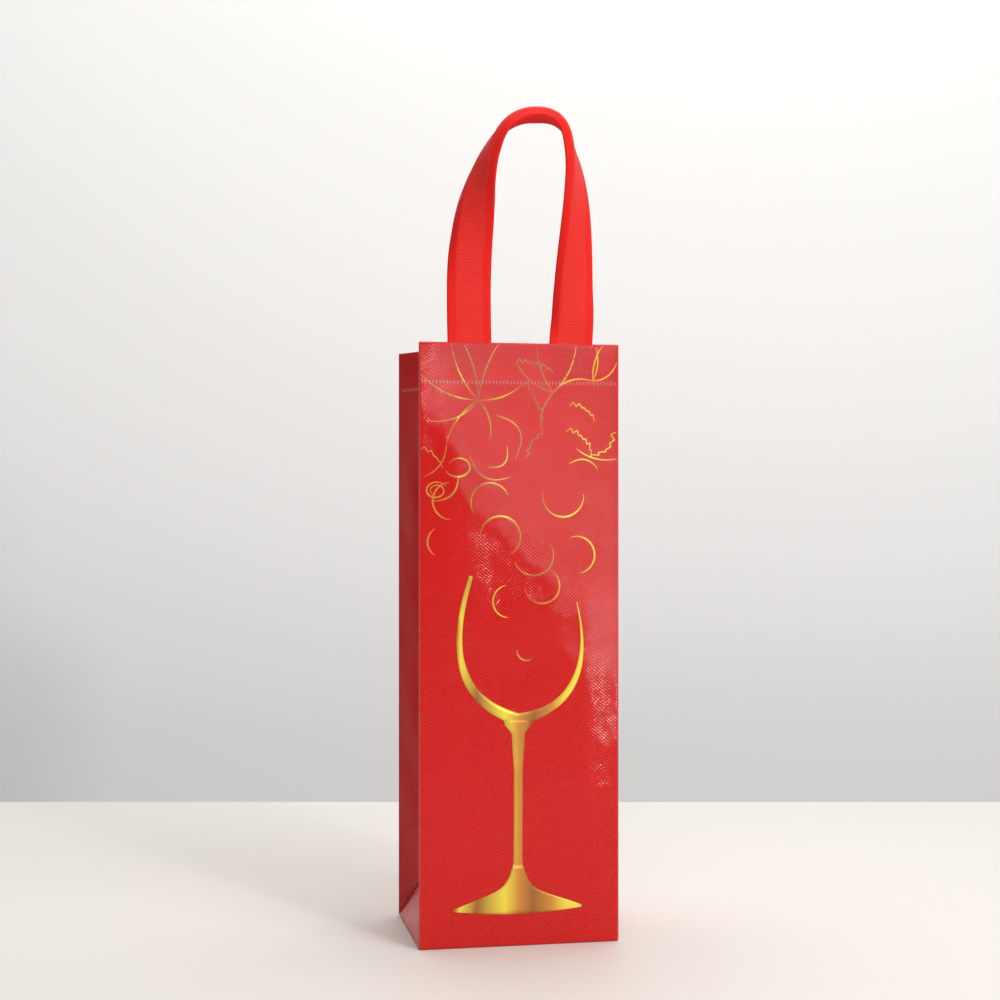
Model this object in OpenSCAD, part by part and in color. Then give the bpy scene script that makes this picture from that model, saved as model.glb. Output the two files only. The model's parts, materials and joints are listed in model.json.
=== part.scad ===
/* [Bag] */
// Width of the front and rear walls
bag_w = 120; // [100:1:160]
// Distance between the front and rear walls when the bag stands open
bag_d = 90; // [70:1:110]
// Height of the bag, floor to top edge
bag_h = 355; // [300:1:400]
// Depth of the crease of each side wall, inwards
crease_in = 19.4; // [12:0.1:24]
// Depth of the turned-in top edge
hem_h = 25; // [18:1:40]

/* [Fabric] */
// Thickness of the coated fabric
sheet_t = 0.5; // [0.3:0.1:1]
// Gap left between neighbouring layers
layer_gap = 0.1; // [0.05:0.05:0.3]

/* [Handles] */
// Width of the strap
strap_w = 26; // [18:1:32]
// Thickness of the strap
strap_t = 1; // [0.6:0.1:2]
// Height of the strap loop's middle line above the top edge
loop_h = 135; // [90:1:180]
// Depth to which each strap end is welded in under the top edge
tab_h = 22; // [12:1:30]
// Lean of a raised handle away from the bag's middle, in degrees
raised_lean = 6; // [4:1:12]
// Angle between a hanging handle and its wall, in degrees
hanging_lean = 8; // [7:1:20]

/* [Hidden] */

red = [0.78, 0.09, 0.08];
red_dark = [0.5, 0.03, 0.04];
strap_red = [0.95, 0.12, 0.1];

half_w = bag_w / 2;
half_d = bag_d / 2;
// Width of one half of a side wall, and height of the fold at its foot, which is the same
side_half = sqrt(half_d * half_d + crease_in * crease_in);
fold_h = side_half;
crease_x = half_w - crease_in;
step = sheet_t + layer_gap;

// Layers of the front wall, from the outside in: panel, strap tab, hem
tab_y = half_d - layer_gap - strap_t;
hem_y = tab_y - layer_gap - sheet_t;
// The side hems lie inside the side walls and end short of the front and rear hems
hem_end = hem_y - layer_gap;

// The strap's middle line, in the plane of its loop: x across, z up from the top edge. Each leg is a cubic
// curve from its foot to the top of the loop, drawn towards a flank and a shoulder on the way
left_foot = -30;
right_foot = 31;
strap_foot = 1.5;
left_flank = [-34, 0.64 * loop_h];
left_shoulder = [-26, loop_h];
loop_top = [8, loop_h];
right_shoulder = [36, loop_h];
right_flank = [35, 0.78 * loop_h];
left_curve = [[left_foot, strap_foot], left_flank, left_shoulder, loop_top];
right_curve = [loop_top, right_shoulder, right_flank, [right_foot, strap_foot]];
curve_steps = 36;
// The strap's cross-section stays level up to about this height over the top edge
straight_foot = 26;
// The strap turns past a quarter turn by the top of the loop, so that its underside looks forward there.
// Shares are counted along each leg from its foot
full_turn = 112;
left_turn_start = 0.08;
left_turn_end = 0.88;
right_turn_start = 0.12;
right_turn_power = 1.35;
// The strap swings about a line just outside its wall and just over the top edge
hinge_out = 0.3;
hinge_up = 0.5;
hinge_y = half_d + sheet_t + hinge_out;
hinge_z = bag_h + hinge_up;
strap_mid_y = tab_y + strap_t / 2;
// The front and rear hems end short of the side hems
hem_width = 2 * (half_w - step - 2 * layer_gap - sheet_t - crease_in * (half_d - hem_y + step) / half_d);

function bezier(p, t) =
    pow(1 - t, 3) * p[0] + 3 * pow(1 - t, 2) * t * p[1] + 3 * (1 - t) * t * t * p[2] + pow(t, 3) * p[3];
function bezier_way(p, t) =
    pow(1 - t, 2) * (p[1] - p[0]) + 2 * (1 - t) * t * (p[2] - p[1]) + t * t * (p[3] - p[2]);
function smooth(t) = let (u = min(1, max(0, t))) u * u * (3 - 2 * u);

// Direction of a leg's middle line, which is upright at the foot; up is +1 or -1, as the leg is drawn
function leg_way(p, t, up) =
    let (way = bezier_way(p, t), unit = way / norm(way), upright = [0, up])
    upright + (unit - upright) * smooth(bezier(p, t)[1] / straight_foot);

// Turn of the strap at a share of the way up each leg
function left_turn(share) = full_turn * smooth((share - left_turn_start) / (left_turn_end - left_turn_start));
function right_turn(share) =
    full_turn * (1 - pow(1 - share, right_turn_power)) * smooth(share / right_turn_start);

// Four corners of the strap's cross-section at a point of its middle line, which runs in the direction way
function ring(p, way, turn) =
    let (
        unit = way / norm(way),
        out = [-unit[1], unit[0]],
        // The edge on the loop's inner side comes to the front at the top of the loop
        across = [-out[0] * cos(turn), -sin(turn), -out[1] * cos(turn)],
        face = [-out[0] * sin(turn), cos(turn), -out[1] * sin(turn)]
    )
    [for (c = [[-1, -1], [1, -1], [1, 1], [-1, 1]])
        [p[0], 0, p[1]] + across * c[0] * strap_w / 2 + face * c[1] * strap_t / 2];

rings = [
    for (i = [0 : curve_steps]) let (t = i / curve_steps)
        ring(bezier(left_curve, t), leg_way(left_curve, t, 1), left_turn(t)),
    for (i = [1 : curve_steps]) let (t = i / curve_steps)
        ring(bezier(right_curve, t), leg_way(right_curve, t, -1), right_turn(1 - t))
];

// The free loop of a strap: a ribbon swept along the middle line, foot to foot
module strap_loop() {
    last = len(rings) - 1;
    faces = concat(
        [[0, 1, 2], [0, 2, 3]],
        [for (i = [0 : last - 1]) for (k = [0 : 3])
            let (a = 4 * i + k, b = 4 * i + (k + 1) % 4)
                each [[a, a + 4, b], [b, a + 4, b + 4]]],
        [[4 * last, 4 * last + 2, 4 * last + 1], [4 * last, 4 * last + 3, 4 * last + 2]]
    );
    polyhedron(points = [for (r = rings) each r], faces = faces);
}

// A strap swung about its hinge line, by degrees from upright
module swung_strap(side, lean) {
    color(strap_red)
        translate([0, side * hinge_y, hinge_z])
            rotate([-side * lean, 0, 0])
                translate([0, side * (strap_mid_y - hinge_y), bag_h - hinge_z])
                    strap_loop();
}

// A flat wall or hem parallel to the front, with its outer face at y = side * outer
module wall(side, outer, width, low, high, thick) {
    y = side > 0 ? outer - thick : -outer;
    translate([-width / 2, y, low]) cube([width, thick, high - low]);
}

// Half of a side wall seen from above, from the corner at the wall to the crease: inward moves the strip
// towards the bag's middle, end_y is where it stops at the wall, and crease_gap where it stops at the crease
module side_strip_plan(inward, end_y, crease_gap) {
    slope = crease_in / half_d;
    x_at_end = half_w - inward - (half_d - end_y) * slope;
    x_at_crease = crease_x - inward + crease_gap * slope;
    polygon([[x_at_end, end_y], [x_at_crease, crease_gap],
             [x_at_crease - sheet_t, crease_gap], [x_at_end - sheet_t, end_y]]);
}

// Half of a side wall above the fold at its foot; end is +1 for the rear half and -1 for the front half
module side_half_wall(end) {
    plan_end = half_d - layer_gap;
    mirror([0, end > 0 ? 0 : 1, 0])
        difference() {
            linear_extrude(height = bag_h)
                side_strip_plan(0, plan_end, layer_gap / 2);
            // Everything under the fold line, which runs from the bottom corner up to the crease
            translate([0, 0, 2 * step])
                rotate([90, 0, 90])
                    linear_extrude(height = bag_w)
                        polygon([[bag_d, -bag_h], [bag_d, -fold_h], [-half_d, 2 * fold_h],
                                 [-half_d, -bag_h]]);
        }
}

// Turned-in top edge of half of a side wall
module side_half_hem(end) {
    mirror([0, end > 0 ? 0 : 1, 0])
        translate([0, 0, bag_h - hem_h])
            linear_extrude(height = hem_h)
                side_strip_plan(step, hem_end, 2 * layer_gap);
}

// The fold at the foot of a side wall: a triangle that leans inwards from the bottom edge to the crease
module base_fold() {
    end_y = half_d - layer_gap;
    foot = [half_w, step];
    apex = [crease_x, fold_h];
    t = sheet_t;
    polyhedron(
        points = [[foot[0], -end_y, foot[1]], [foot[0], end_y, foot[1]], [apex[0], 0, apex[1]],
                  [foot[0] - t, -end_y, foot[1]], [foot[0] - t, end_y, foot[1]], [apex[0] - t, 0, apex[1]]],
        faces = [[0, 2, 1], [3, 4, 5], [0, 1, 4, 3], [1, 2, 5, 4], [2, 0, 3, 5]]
    );
}

module on_side(side) {
    mirror([side > 0 ? 0 : 1, 0, 0]) children();
}

module front_panel() { color(red) wall(-1, half_d + sheet_t, bag_w, 0, bag_h, sheet_t); }
module back_panel() { color(red) wall(1, half_d + sheet_t, bag_w, 0, bag_h, sheet_t); }
module base_panel() {
    depth = bag_d - 2 * layer_gap;
    color(red_dark) translate([-half_w, -depth / 2, 0]) cube([bag_w, depth, sheet_t]);
}
module front_hem() { color(red_dark) wall(-1, hem_y + sheet_t, hem_width, bag_h - hem_h, bag_h, sheet_t); }
module back_hem() { color(red_dark) wall(1, hem_y + sheet_t, hem_width, bag_h - hem_h, bag_h, sheet_t); }
module left_gusset_front() { color(red_dark) on_side(-1) side_half_wall(-1); }
module left_gusset_rear() { color(red_dark) on_side(-1) side_half_wall(1); }
module left_base_triangle() { color(red) on_side(-1) base_fold(); }
module left_hem_front() { color(red_dark) on_side(-1) side_half_hem(-1); }
module left_hem_rear() { color(red_dark) on_side(-1) side_half_hem(1); }
module right_gusset_front() { color(red_dark) on_side(1) side_half_wall(-1); }
module right_gusset_rear() { color(red_dark) on_side(1) side_half_wall(1); }
module right_base_triangle() { color(red) on_side(1) base_fold(); }
module right_hem_front() { color(red_dark) on_side(1) side_half_hem(-1); }
module right_hem_rear() { color(red_dark) on_side(1) side_half_hem(1); }

// A welded strap end between a wall and its hem
module tab(side, foot) {
    color(strap_red)
        translate([foot - strap_w / 2, side > 0 ? tab_y : -tab_y - strap_t, bag_h - tab_h])
            cube([strap_w, strap_t, tab_h]);
}
module front_tab_left() { tab(-1, left_foot); }
module front_tab_right() { tab(-1, right_foot); }
module back_tab_left() { tab(1, left_foot); }
module back_tab_right() { tab(1, right_foot); }
module front_handle() { swung_strap(-1, raised_lean); }
module back_handle() { swung_strap(1, 180 - hanging_lean); }

front_panel();
back_panel();
base_panel();
front_hem();
back_hem();
left_gusset_front();
left_gusset_rear();
left_base_triangle();
left_hem_front();
left_hem_rear();
right_gusset_front();
right_gusset_rear();
right_base_triangle();
right_hem_front();
right_hem_rear();
front_tab_left();
front_tab_right();
back_tab_left();
back_tab_right();
front_handle();
back_handle();
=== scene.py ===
"""Wine gift bag: the look of a welded, film-coated non-woven bag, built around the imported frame.

Lengths are in millimetres in the functions and become metres in new_mesh(). Walls stand along X and Z, the
front wall faces -Y, and every wall surface is a function that maps a place on the cut sheet to a point.
Lights and the camera are placed in metres. A side is -1 for front or left and 1 for rear or right.
"""
import json
import math

import bpy
import numpy as np
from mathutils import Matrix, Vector

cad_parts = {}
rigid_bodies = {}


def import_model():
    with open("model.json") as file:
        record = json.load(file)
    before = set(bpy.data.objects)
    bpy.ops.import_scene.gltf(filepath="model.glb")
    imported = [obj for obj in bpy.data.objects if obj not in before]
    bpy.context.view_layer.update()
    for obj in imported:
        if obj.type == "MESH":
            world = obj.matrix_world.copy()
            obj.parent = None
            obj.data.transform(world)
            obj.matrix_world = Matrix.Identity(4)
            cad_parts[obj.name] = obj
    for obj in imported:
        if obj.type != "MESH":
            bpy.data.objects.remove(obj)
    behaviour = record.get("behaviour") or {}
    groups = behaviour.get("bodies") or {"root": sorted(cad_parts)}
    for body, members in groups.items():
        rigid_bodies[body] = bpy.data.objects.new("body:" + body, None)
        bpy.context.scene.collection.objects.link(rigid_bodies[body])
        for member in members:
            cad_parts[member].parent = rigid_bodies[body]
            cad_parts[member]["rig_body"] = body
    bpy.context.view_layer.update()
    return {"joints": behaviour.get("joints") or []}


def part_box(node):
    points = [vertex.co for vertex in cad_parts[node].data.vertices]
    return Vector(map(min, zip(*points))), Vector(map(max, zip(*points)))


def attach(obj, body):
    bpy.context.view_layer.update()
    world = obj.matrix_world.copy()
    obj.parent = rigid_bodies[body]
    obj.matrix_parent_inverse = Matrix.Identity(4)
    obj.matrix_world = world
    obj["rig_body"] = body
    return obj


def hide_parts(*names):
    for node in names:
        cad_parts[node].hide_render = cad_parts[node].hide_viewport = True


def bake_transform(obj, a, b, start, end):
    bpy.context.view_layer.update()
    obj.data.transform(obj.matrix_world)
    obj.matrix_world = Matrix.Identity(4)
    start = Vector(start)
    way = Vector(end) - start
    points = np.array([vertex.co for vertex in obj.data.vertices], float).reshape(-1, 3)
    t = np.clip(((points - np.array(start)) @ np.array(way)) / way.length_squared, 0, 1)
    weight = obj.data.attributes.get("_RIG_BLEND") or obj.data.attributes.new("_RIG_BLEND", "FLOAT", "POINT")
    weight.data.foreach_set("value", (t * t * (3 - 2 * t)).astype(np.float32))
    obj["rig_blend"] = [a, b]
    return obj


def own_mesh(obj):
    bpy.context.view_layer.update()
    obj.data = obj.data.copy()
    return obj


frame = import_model()

MM = 0.001

# ---------------------------------------------------------------- sizes, read from the frame

front_low, front_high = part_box("front_panel")
hem_low, hem_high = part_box("front_hem")
tab_low, tab_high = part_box("front_tab_left")
right_tab_low, right_tab_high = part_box("front_tab_right")
triangle_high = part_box("left_base_triangle")[1]

HALF_W = front_high[0] / MM
HEIGHT = front_high[2] / MM
WALL_Y = -front_high[1] / MM                     # inner face of either wall
SHEET = (front_high[1] - front_low[1]) / MM
OUTER_Y = WALL_Y + SHEET
HEM_DROP = (hem_high[2] - hem_low[2]) / MM
HEM_Y = -hem_high[1] / MM                        # inner face of a hem
CREASE_X = -triangle_high[0] / MM                # where the side walls' creases stand
CREASE_IN = HALF_W - CREASE_X
FOLD_H = triangle_high[2] / MM
SIDE_HALF = math.hypot(WALL_Y, CREASE_IN)
STRAP_W = (tab_high[0] - tab_low[0]) / MM
STRAP_T = (tab_high[1] - tab_low[1]) / MM
TAB_DROP = (tab_high[2] - tab_low[2]) / MM
LEFT_FOOT = (tab_low[0] + tab_high[0]) / 2 / MM
RIGHT_FOOT = (right_tab_low[0] + right_tab_high[0]) / 2 / MM
STRAP_Y = -(tab_low[1] + tab_high[1]) / 2 / MM   # middle of a strap inside its wall

joints = {j["name"]: j for j in frame["joints"]}
HINGE_Y = joints["back_handle_swing"]["pos_m"][1] / MM
HINGE_Z = joints["back_handle_swing"]["pos_m"][2] / MM


# ---------------------------------------------------------------- mesh helpers

def smooth(t):
    """An even rise from 0 to 1 as t goes from 0 to 1."""
    t = np.clip(t, 0.0, 1.0)
    return t * t * (3 - 2 * t)


def new_mesh(name, points, faces, materials, face_material=None, uv=None, shade=True):
    """A mesh object from points in millimetres; uv holds one pair a point."""
    mesh = bpy.data.meshes.new(name)
    places = [tuple(p) for p in np.asarray(points, float) * MM]
    mesh.from_pydata(places, [], [tuple(map(int, f)) for f in faces])
    for material in materials:
        mesh.materials.append(material)
    if face_material is not None:
        mesh.polygons.foreach_set("material_index", np.asarray(face_material, np.int32))
    if shade:
        mesh.polygons.foreach_set("use_smooth", np.ones(len(mesh.polygons), bool))
    if uv is not None:
        layer = mesh.uv_layers.new(name="UVMap")
        corner = np.empty(len(mesh.loops), np.int32)
        mesh.loops.foreach_get("vertex_index", corner)
        layer.data.foreach_set("uv", (np.asarray(uv, float)[corner] * MM).astype(np.float32).ravel())
    mesh.validate()
    mesh.update()
    obj = bpy.data.objects.new(name, mesh)
    bpy.context.scene.collection.objects.link(obj)
    return obj


def grid_normals(grid):
    """Unit normals of a grid of points, from its rows and columns."""
    along = np.gradient(grid, axis=0)
    across = np.gradient(grid, axis=1)
    normal = np.cross(across, along)
    length = np.linalg.norm(normal, axis=2, keepdims=True)
    return normal / np.maximum(length, 1e-9)


def rim_of(rows, cols):
    """The points on the edge of a grid, once round, as indices."""
    rim = list(range(cols))
    rim += [r * cols + cols - 1 for r in range(1, rows)]
    rim += [(rows - 1) * cols + c for c in range(cols - 2, -1, -1)]
    rim += [r * cols for r in range(rows - 2, 0, -1)]
    return rim


def shell(name, grid, thickness, materials, uv_grid=None, flip=False, normal=None):
    """A closed sheet: the grid is its outer face, and its inner face lies the thickness behind.

    normal gives the outward way at each point where the grid's own would fail, as at rounded corners."""
    rows, cols = grid.shape[:2]
    if normal is None:
        normal = grid_normals(grid) * (-1 if flip else 1)
    points = np.concatenate([grid.reshape(-1, 3), (grid - normal * thickness).reshape(-1, 3)])
    back = rows * cols
    inner_kind = min(1, len(materials) - 1)
    faces, kinds = [], []
    for r in range(rows - 1):
        for c in range(cols - 1):
            a, b = r * cols + c, r * cols + c + 1
            d, e = a + cols, b + cols
            outer = (a, b, e, d) if not flip else (a, d, e, b)
            faces.append(outer)
            faces.append(tuple(back + v for v in reversed(outer)))
            kinds += [0, inner_kind]
    rim = rim_of(rows, cols)
    for k, a in enumerate(rim):
        b = rim[(k + 1) % len(rim)]
        edge = (b, a, a + back, b + back) if not flip else (a, b, b + back, a + back)
        faces.append(edge)
        kinds.append(inner_kind)
    uv = None
    if uv_grid is not None:
        flat = uv_grid.reshape(-1, 2)
        uv = np.concatenate([flat, flat])
    return new_mesh(name, points, faces, materials, kinds, uv)


def joined(name, parts, materials):
    """One mesh object from a list of (points, faces)."""
    points, faces, start = [], [], 0
    for part_points, part_faces in parts:
        points.append(np.asarray(part_points, float))
        faces += [tuple(v + start for v in f) for f in part_faces]
        start += len(part_points)
    return new_mesh(name, np.concatenate(points), faces, materials)


# ---------------------------------------------------------------- materials

class Nodes:
    """A short way to build a node tree: each call adds one node and returns its output."""

    def __init__(self, name):
        self.material = bpy.data.materials.new(name)
        self.material.use_nodes = True
        self.tree = self.material.node_tree
        self.shader = self.tree.nodes["Principled BSDF"]

    def set(self, **sockets):
        for name, value in sockets.items():
            self.put(self.shader.inputs[name.replace("_", " ")], value)
        return self

    def put(self, socket, value):
        if isinstance(value, bpy.types.NodeSocket):
            self.tree.links.new(value, socket)
        else:
            socket.default_value = value

    def node(self, kind, output=0, inputs=(), **settings):
        node = self.tree.nodes.new(kind)
        for name, value in settings.items():
            setattr(node, name, value)
        for key, value in dict(inputs).items():
            self.put(node.inputs[key], value)
        return node.outputs[output]

    def math(self, operation, a, b=0.0):
        return self.node("ShaderNodeMath", inputs={0: a, 1: b}, operation=operation)

    def uv(self):
        """The place on the cut sheet, in metres, and its two parts."""
        place = self.node("ShaderNodeUVMap", uv_map="UVMap")
        split = self.tree.nodes.new("ShaderNodeSeparateXYZ")
        self.tree.links.new(place, split.inputs[0])
        return place, split.outputs[0], split.outputs[1]

    def wave(self, x, y, angle, pitch):
        """A sine wave on the sheet: its crests lie at an angle in degrees, a pitch in millimetres apart."""
        k = 2 * math.pi / (pitch * MM)
        a = self.math("MULTIPLY", x, -math.sin(math.radians(angle)) * k)
        b = self.math("MULTIPLY", y, math.cos(math.radians(angle)) * k)
        return self.math("SINE", self.math("ADD", a, b))

    def noise(self, place, size, detail=2.0, roughness=0.5):
        """Noise whose lumps are about a size in millimetres across."""
        inputs = {"Vector": place, "Scale": 1 / (size * MM), "Detail": detail, "Roughness": roughness}
        return self.node("ShaderNodeTexNoise", inputs=inputs)

    def ramp(self, factor, *stops):
        node = self.tree.nodes.new("ShaderNodeValToRGB")
        node.color_ramp.elements.remove(node.color_ramp.elements[1])
        for k, (at, color) in enumerate(stops):
            element = node.color_ramp.elements[0] if k == 0 else node.color_ramp.elements.new(at)
            element.position = at
            element.color = (*color, 1)
        self.put(node.inputs[0], factor)
        return node.outputs[0]

    def mix(self, factor, a, b):
        node = self.tree.nodes.new("ShaderNodeMix")
        node.data_type = "RGBA"
        self.put(node.inputs["Factor"], factor)
        for socket, value in zip([s for s in node.inputs if s.type == "RGBA"], (a, b)):
            self.put(socket, value if isinstance(value, bpy.types.NodeSocket) else (*value, 1))
        return next(s for s in node.outputs if s.type == "RGBA")

    def bump(self, height, distance, strength=1.0, normal=None):
        inputs = {"Height": height, "Distance": distance * MM, "Strength": strength}
        if normal is not None:
            inputs["Normal"] = normal
        return self.node("ShaderNodeBump", inputs=inputs)


EMBOSS_PITCH = 1.51
EMBOSS_RISING, EMBOSS_FALLING = 42, -40          # angles of the two runs of crests
RISING_SHARE, FALLING_SHARE = 0.62, 0.38         # how strong each run is at the foot of a sheet
SHARE_A_METRE = 0.7                              # what the rising run gives up to the falling one up a sheet
CREASE_SIZE, CREASE_DEPTH = 38, 3.2              # broad unevenness of the film
FINE_SIZE = 2.2
WEAR_AND_HIGHLIGHT_WIDTH, WEAR_AND_HIGHLIGHT_COLOR = 1.0, (0.9, 0.3, 0.26)   # pale side-edge margin: rubbed wear plus a painted fold highlight


def film_material(name, color, deep, roughness, emboss, specular, half_width):
    """Glossy printed film laminated to an embossed non-woven: rows of small ovals in a diagonal lattice."""
    m = Nodes(name)
    place, x, y = m.uv()
    moved = m.math("MULTIPLY", y, SHARE_A_METRE)
    first, second = m.wave(x, y, EMBOSS_RISING, EMBOSS_PITCH), m.wave(x, y, EMBOSS_FALLING, EMBOSS_PITCH)
    rising = m.math("MULTIPLY", m.math("SUBTRACT", RISING_SHARE, moved), first)
    falling = m.math("MULTIPLY", m.math("ADD", FALLING_SHARE, moved), second)
    pits = m.math("MULTIPLY", m.math("ADD", m.math("ADD", rising, falling), 1.0), 0.5)
    creases = m.noise(place, CREASE_SIZE, 3.0)
    fine = m.noise(place, FINE_SIZE, 2.0)
    # tone darkens the emboss hollows towards the deep colour, a painted shade, and adds random tone from the
    # fine noise.
    tone = m.math("ADD", m.math("MULTIPLY", pits, 0.75), m.math("MULTIPLY", fine, 0.35))
    # The pale margin along the side edges is partly rubbed wear and partly a painted highlight on the corner
    # fold.
    past_margin = m.math("SUBTRACT", m.math("ABSOLUTE", x), (half_width - WEAR_AND_HIGHLIGHT_WIDTH) * MM)
    margin = m.math("MINIMUM", m.math("MAXIMUM", m.math("MULTIPLY", past_margin, 900.0), 0.0), 1.0)
    wear_and_highlight = m.math("MULTIPLY", margin, m.math("MULTIPLY", m.noise(place, 5, 3.0), 0.8))
    m.set(Base_Color=m.mix(wear_and_highlight, m.mix(tone, deep, color), WEAR_AND_HIGHLIGHT_COLOR),
          Roughness=m.math("ADD", roughness, m.math("MULTIPLY", fine, 0.04)),
          IOR=1.45, Specular_IOR_Level=specular,
          Normal=m.bump(pits, emboss, 0.85, m.bump(creases, CREASE_DEPTH, 0.5)))
    return m.material


DOT_PITCH = 1.3
FIELD_HALF, FIELD_WANDER = 5.0, 6.0              # the dotted field's least half width, and what noise adds
FIELD_COLOR, DOT_COLOR = (0.86, 0.012, 0.008), (1.0, 0.42, 0.36)
FIBRE_SIZE = 0.5


def strap_material(name, color, deep):
    """Matt non-woven tape with rows of small round welds in a field down its middle."""
    m = Nodes(name)
    place, x, y = m.uv()
    crests = m.math("ADD", m.wave(x, y, 45, DOT_PITCH), m.wave(x, y, -45, DOT_PITCH))
    spots = m.math("GREATER_THAN", crests, 1.1)
    field_edge = m.math("ADD", FIELD_HALF * MM, m.math("MULTIPLY", m.noise(place, 30), FIELD_WANDER * MM))
    field = m.math("LESS_THAN", m.math("ABSOLUTE", x), field_edge)
    dots = m.math("MULTIPLY", spots, field)
    fibre = m.noise(place, FIBRE_SIZE, 4.0, 0.7)
    cloud = m.noise(place, 7, 2.0)
    tone = m.math("ADD", m.math("MULTIPLY", fibre, 0.6), m.math("MULTIPLY", cloud, 0.4))
    body = m.mix(m.math("MULTIPLY", field, 0.8), FIELD_COLOR, m.mix(tone, deep, color))
    m.set(Base_Color=m.mix(m.math("MULTIPLY", dots, 0.26), body, DOT_COLOR),
          Roughness=m.math("SUBTRACT", 0.72, m.math("MULTIPLY", dots, 0.3)),
          Sheen_Weight=0.03, Sheen_Roughness=0.5, Specular_IOR_Level=0.25,
          Normal=m.bump(m.math("MULTIPLY", dots, -1.0), 0.16, 0.9, m.bump(fibre, 0.06, 0.5)))
    return m.material


GOLD_HALF = 40.0                                 # half width of the gold's run of bands
BRONZE, AMBER, PALE_GOLD = (0.4, 0.14, 0.03), (0.72, 0.3, 0.045), (1.0, 0.8, 0.08)
GOLD_REFLECTION_BANDS = [                                   # share of the way across, color; the bands are a painted reflection
    (0.02, AMBER), (0.05, PALE_GOLD), (0.18, BRONZE), (0.38, PALE_GOLD), (0.49, AMBER),
    (0.6, BRONZE), (0.74, AMBER), (0.85, PALE_GOLD), (0.97, PALE_GOLD),
]


def gold_material():
    """Gold ink coloured in upright bands, bronze to pale gold, from side to side of the wall: a painted
    reflection on the foil.
    """
    m = Nodes("gold_ink")
    place, x, y = m.uv()
    wander = m.math("MULTIPLY", m.math("SUBTRACT", m.noise(place, 26), 0.5), 0.05)
    share = m.math("ADD", m.math("ADD", m.math("MULTIPLY", x, 1 / (2 * GOLD_HALF * MM)), 0.5), wander)
    emboss = m.wave(x, y, EMBOSS_RISING, EMBOSS_PITCH)
    grain = m.noise(place, 0.6, 2.0)
    # The colour bands across the wall paint the foil's reflection of the room.
    m.set(Base_Color=m.ramp(share, *GOLD_REFLECTION_BANDS), Metallic=0.3,
          Roughness=m.math("ADD", 0.3, m.math("MULTIPLY", grain, 0.12)),
          Normal=m.bump(emboss, 0.05, 0.6))
    return m.material


def weld_material(name, color, deep, roughness):
    """Film crushed by the welding die, with a fine crackle."""
    m = Nodes(name)
    place = m.node("ShaderNodeTexCoord", output="Object")
    crackle = m.noise(place, 0.7, 3.0)
    m.set(Base_Color=m.mix(crackle, deep, color),
          Roughness=m.math("ADD", roughness, m.math("MULTIPLY", crackle, 0.2)),
          Normal=m.bump(crackle, 0.05, 0.6))
    return m.material


def lining_material():
    """The uncoated back of the non-woven, matt and fibrous."""
    m = Nodes("nonwoven_back")
    place, x, y = m.uv()
    fibre = m.noise(place, FIBRE_SIZE, 4.0, 0.7)
    dots = m.math("MULTIPLY", m.wave(x, y, 45, 1.7), m.wave(x, y, -45, 1.7))
    m.set(Base_Color=m.mix(fibre, (0.34, 0.012, 0.012), (0.58, 0.035, 0.03)),
          Roughness=0.85, Sheen_Weight=0.2,
          Normal=m.bump(dots, 0.1, 0.6, m.bump(fibre, 0.06, 0.5)))
    return m.material


FILM = film_material("red_film", color=(0.92, 0.009, 0.006), deep=(0.32, 0.001, 0.001),
                     roughness=0.06, emboss=0.2, specular=0.5, half_width=HALF_W)
# A darker copy of the red film for the side walls: painted shade, as they are the same film turned away from
# the light.
FILM_SIDE_SHADED = film_material("red_film_side_shaded", color=(0.78, 0.003, 0.002), deep=(0.34, 0.001, 0.001),
                          roughness=0.14, emboss=0.16, specular=0.12, half_width=SIDE_HALF)
# A paler copy of the red film for the base folds: its lighter hollows paint the pinkish reflection of the
# table.
FILM_FOLD_LIT = film_material("red_film_fold_lit", color=(0.86, 0.012, 0.01), deep=(0.5, 0.003, 0.003),
                          roughness=0.22, emboss=0.12, specular=0.6, half_width=SIDE_HALF)
LINING = lining_material()
STRAP = strap_material("strap_tape", (0.96, 0.022, 0.012), (0.74, 0.005, 0.004))
GOLD = gold_material()
WELD_PALE = weld_material("hem_weld", (0.85, 0.36, 0.35), (0.6, 0.1, 0.1), 0.3)
WELD_RED = weld_material("strap_weld", (0.5, 0.012, 0.012), (0.24, 0.003, 0.005), 0.15)
WELD_DARK = weld_material("side_weld", (0.3, 0.012, 0.014), (0.16, 0.004, 0.006), 0.25)


# ---------------------------------------------------------------- surfaces of the bag

EDGE_R = 1.2                                     # fold radius at the corners and the bottom edge
TURN_R = (OUTER_Y - HEM_Y) / 2                   # fold radius of the top edge, over wall, strap and hem
HEM_NARROWING = 0.034                            # how much narrower the turned-in hem is than its wall
SIDE_TURN_R = 0.8                                # fold radius of a side wall's top edge
SIDE_Y = WALL_Y - 0.25                           # a side wall stops just short of the front and rear walls
WALL_DENTS = [                                   # how far out it stands, x, z, half width, half height
    (0.9, 30, 292, 26, 30), (-0.8, -34, 262, 22, 44), (0.7, -8, 205, 44, 24),
    (-0.6, 26, 150, 30, 26), (0.5, -30, 100, 26, 34), (-0.4, 6, 50, 50, 16),
]
SIDE_DENTS = [
    (1.1, 22, 250, 14, 46), (-1.0, -24, 190, 13, 38), (0.9, 20, 120, 15, 30),
]


def dented(dents, x, z):
    """How far a list of soft bumps and hollows stands out."""
    return sum(rise * np.exp(-((x - at_x) / wide) ** 2 - ((z - at_z) / tall) ** 2)
               for rise, at_x, at_z, wide, tall in dents)


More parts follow.
